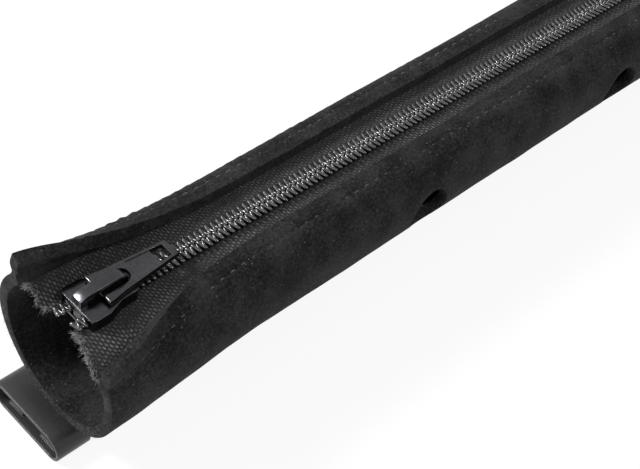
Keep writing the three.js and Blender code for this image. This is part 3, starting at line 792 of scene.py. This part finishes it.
def zip_coil(side, name):
    start = COIL_INSET + (0 if side == FAR else COIL_PITCH / 2)
    turns = int((SLEEVE_LENGTH - CHAIN_END_MARGIN - start) / COIL_PITCH)
    steps = np.arange(turns * POINTS_PER_TURN + 1) / POINTS_PER_TURN
    turn = 2 * math.pi * steps
    x = start + steps * COIL_PITCH
    half_width = (COIL_OUTER - COIL_HEAD) / 2 - WIRE_RADIUS
    half_height = (COIL_TOP - COIL_LOW) / 2 - WIRE_RADIUS
    spread = np.array([chain_spread(one) for one in x])
    across = (COIL_OUTER + COIL_HEAD) / 2 - half_width * np.cos(turn) + spread
    up = (COIL_TOP + COIL_LOW) / 2 + half_height * np.sin(turn)
    up -= STITCHED_DIP * np.maximum(np.sin(turn), 0) ** 4
    path = np.stack([MOUTH_X + x, CHAIN_Y + side * across, TAPE_TOP_Z + up], axis=1)
    return tube_from_path(name, path, WIRE_RADIUS, 1 + HEAD_SWELL * np.cos(turn))


def black_nylon():
    material, tree = start_material("black_nylon_monofilament")
    grain = place_group(tree, FIBRE_GRAIN, Fibre_Scale=700, Speck_Scale=1500, Speck_Limit=0.1)
    shade = mix_colors(tree, grain.outputs["Mottle"], NYLON_BLACK, (0.026, 0.026, 0.027, 1))
    shader = finish_surface(tree, 0.24, Specular_IOR_Level=0.6, Coat_Weight=0.3, Coat_Roughness=0.15)
    tree.links.new(shade, shader.inputs["Base Color"])
    add_bump(tree, shader, grain.outputs["Mottle"], 0.08, 0.05 * MM)
    return material


NYLON = black_nylon()
for side, coil_name in ((FAR, "coil_far"), (NEAR, "coil_near")):
    coil = zip_coil(side, "wound_" + coil_name)
    coil.data.materials.append(NYLON)
    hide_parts(coil_name)
    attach(coil, "sleeve")

# Seams
# A lockstitch of black thread through sheet and tape, a few millimetres in from each free edge. Each
# stitch shows as a short raised bar that sinks into the sheet at both ends.
STITCH_LENGTH = 2.4 * MM
THREAD_RADIUS = 0.17 * MM
THREAD_GREY = (0.02, 0.02, 0.0205, 1)


def seam_stitches(side, name):
    count = int((SLEEVE_LENGTH - 2 * TAPE_INSET) / SEAM_PITCH)
    clear_selection()
    bpy.ops.mesh.primitive_cylinder_add(vertices=6, radius=THREAD_RADIUS, depth=STITCH_LENGTH,
                                        rotation=(0, math.pi / 2, 0), end_fill_type="NOTHING")
    bpy.ops.object.transform_apply(location=True, rotation=True, scale=True)
    bar = bpy.context.object
    bpy.ops.object.mode_set(mode="EDIT")
    bpy.ops.mesh.select_all(action="SELECT")
    bpy.ops.mesh.subdivide(number_cuts=3)
    bpy.ops.object.mode_set(mode="OBJECT")
    shape = np.array([corner.co[:] for corner in bar.data.vertices])
    faces = [tuple(face.vertices) for face in bar.data.polygons]
    sag = (shape[:, 0] / (STITCH_LENGTH / 2)) ** 2
    all_points, all_faces = [], []
    for index in range(count):
        x = TAPE_INSET + (index + 0.5) * SEAM_PITCH
        half = HalfSection(x, side)
        raised = half.at(half.seam - shape[:, 1], WALL / 2 - 0.34 * MM + shape[:, 2] - 0.5 * MM * sag)
        raised[:, 0] += shape[:, 0]
        all_faces += [tuple(corner + len(all_points) for corner in face) for face in faces]
        all_points += [tuple(point) for point in raised]
    mesh = bpy.data.meshes.new(name)
    mesh.from_pydata(all_points, [], all_faces)
    seam = bpy.data.objects.new(name, mesh)
    bpy.context.scene.collection.objects.link(seam)
    bpy.data.objects.remove(bar)
    smooth(seam)
    return seam


def black_thread():
    material, tree = start_material("black_sewing_thread")
    place = add_node(tree, "ShaderNodeTexCoord")
    twist = add_node(tree, "ShaderNodeTexWave", wave_type="BANDS", bands_direction="DIAGONAL")
    twist.inputs["Scale"].default_value = 0.314 / (0.35 * MM)
    tree.links.new(place.outputs["Object"], twist.inputs["Vector"])
    shader = finish_surface(tree, 0.6, Sheen_Weight=0.2)
    shade = mix_colors(tree, twist.outputs["Fac"], (0.01, 0.01, 0.0105, 1), THREAD_GREY)
    tree.links.new(shade, shader.inputs["Base Color"])
    add_bump(tree, shader, twist.outputs["Fac"], 0.5, 0.08 * MM)
    return material


THREAD = black_thread()
for side, seam_name in ((FAR, "seam_far"), (NEAR, "seam_near")):
    seam = seam_stitches(side, "stitched_" + seam_name)
    seam.data.materials.append(THREAD)
    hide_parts(seam_name)
    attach(seam, "sleeve")

# End stop
# A small stamped strip of black metal crimped round both tapes where the chain ends.


def softened_copy(node, name, width, segments, angle=32):
    """A merged copy of a machined piece, with its sharp edges rounded."""
    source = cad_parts[node]
    piece = bpy.data.objects.new(name, source.data.copy())
    bpy.context.scene.collection.objects.link(piece)
    clear_selection()
    piece.select_set(True)
    bpy.context.view_layer.objects.active = piece
    bpy.ops.object.mode_set(mode="EDIT")
    bpy.ops.mesh.select_all(action="SELECT")
    bpy.ops.mesh.remove_doubles(threshold=0.002 * MM)
    bpy.ops.mesh.dissolve_limited(angle_limit=math.radians(1))
    bpy.ops.object.mode_set(mode="OBJECT")
    piece.data.materials.clear()
    if "custom_normal" in piece.data.attributes:
        piece.data.attributes.remove(piece.data.attributes["custom_normal"])
    add_modifier(piece, "BEVEL", width=width, segments=segments, limit_method="ANGLE",
                 angle_limit=math.radians(angle), harden_normals=False)
    apply_modifiers(piece)
    smooth(piece, 34)
    return piece


def black_nickel():
    material, tree = start_material("black_nickel_plate")
    grain = place_group(tree, FIBRE_GRAIN, Fibre_Scale=900, Speck_Scale=1600, Speck_Limit=0.08)
    shade = mix_colors(tree, grain.outputs["Mottle"], (0.05, 0.05, 0.053, 1), (0.07, 0.07, 0.074, 1))
    shader = finish_surface(tree, 0.24, metallic=1.0)
    tree.links.new(shade, shader.inputs["Base Color"])
    add_bump(tree, shader, grain.outputs["Mottle"], 0.06, 0.05 * MM)
    return material


BLACK_NICKEL = black_nickel()
end_stop = softened_copy("end_stop", "crimped_end_stop", 0.15 * MM, 2)
end_stop.data.materials.append(BLACK_NICKEL)
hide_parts("end_stop")
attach(end_stop, "sleeve")

# Slider
# A die-cast body with an upper and a lower plate joined by the neck, and the bridge over the top that
# holds the pull tab. Plated black nickel, with softened edges that catch the light.
slider = softened_copy("slider_body", "cast_slider_body", 0.16 * MM, 3)
slider.data.materials.append(BLACK_NICKEL)
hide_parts("slider_body")
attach(slider, "slider")

# Pull tab
# A cast tab that hangs on the bridge by a round bar, with a recessed panel between raised rims and a
# slot near its tip.
tab = softened_copy("pull_tab", "cast_pull_tab", 0.12 * MM, 3)
tab.data.materials.append(BLACK_NICKEL)
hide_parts("pull_tab")
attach(tab, "pull")

# Anchor loop
# A short oval ring of satin black plastic, moulded in one piece and bonded under the mouth.
LOOP_DARK = (0.012, 0.012, 0.0125, 1)
LOOP_LIGHT = (0.018, 0.018, 0.0185, 1)
loop = softened_copy("anchor_loop", "moulded_anchor_loop", 0.3 * MM, 3)


def satin_plastic():
    material, tree = start_material("satin_black_plastic")
    grain = place_group(tree, FIBRE_GRAIN, Fibre_Scale=1200, Speck_Scale=1200, Speck_Limit=0.08)
    shade = mix_colors(tree, grain.outputs["Mottle"], LOOP_DARK, LOOP_LIGHT)
    shader = finish_surface(tree, 0.36, Specular_IOR_Level=0.4)
    tree.links.new(shade, shader.inputs["Base Color"])
    add_bump(tree, shader, grain.outputs["Mottle"], 0.12, 0.06 * MM)
    return material


loop.data.materials.append(satin_plastic())
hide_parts("anchor_loop")
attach(loop, "sleeve")
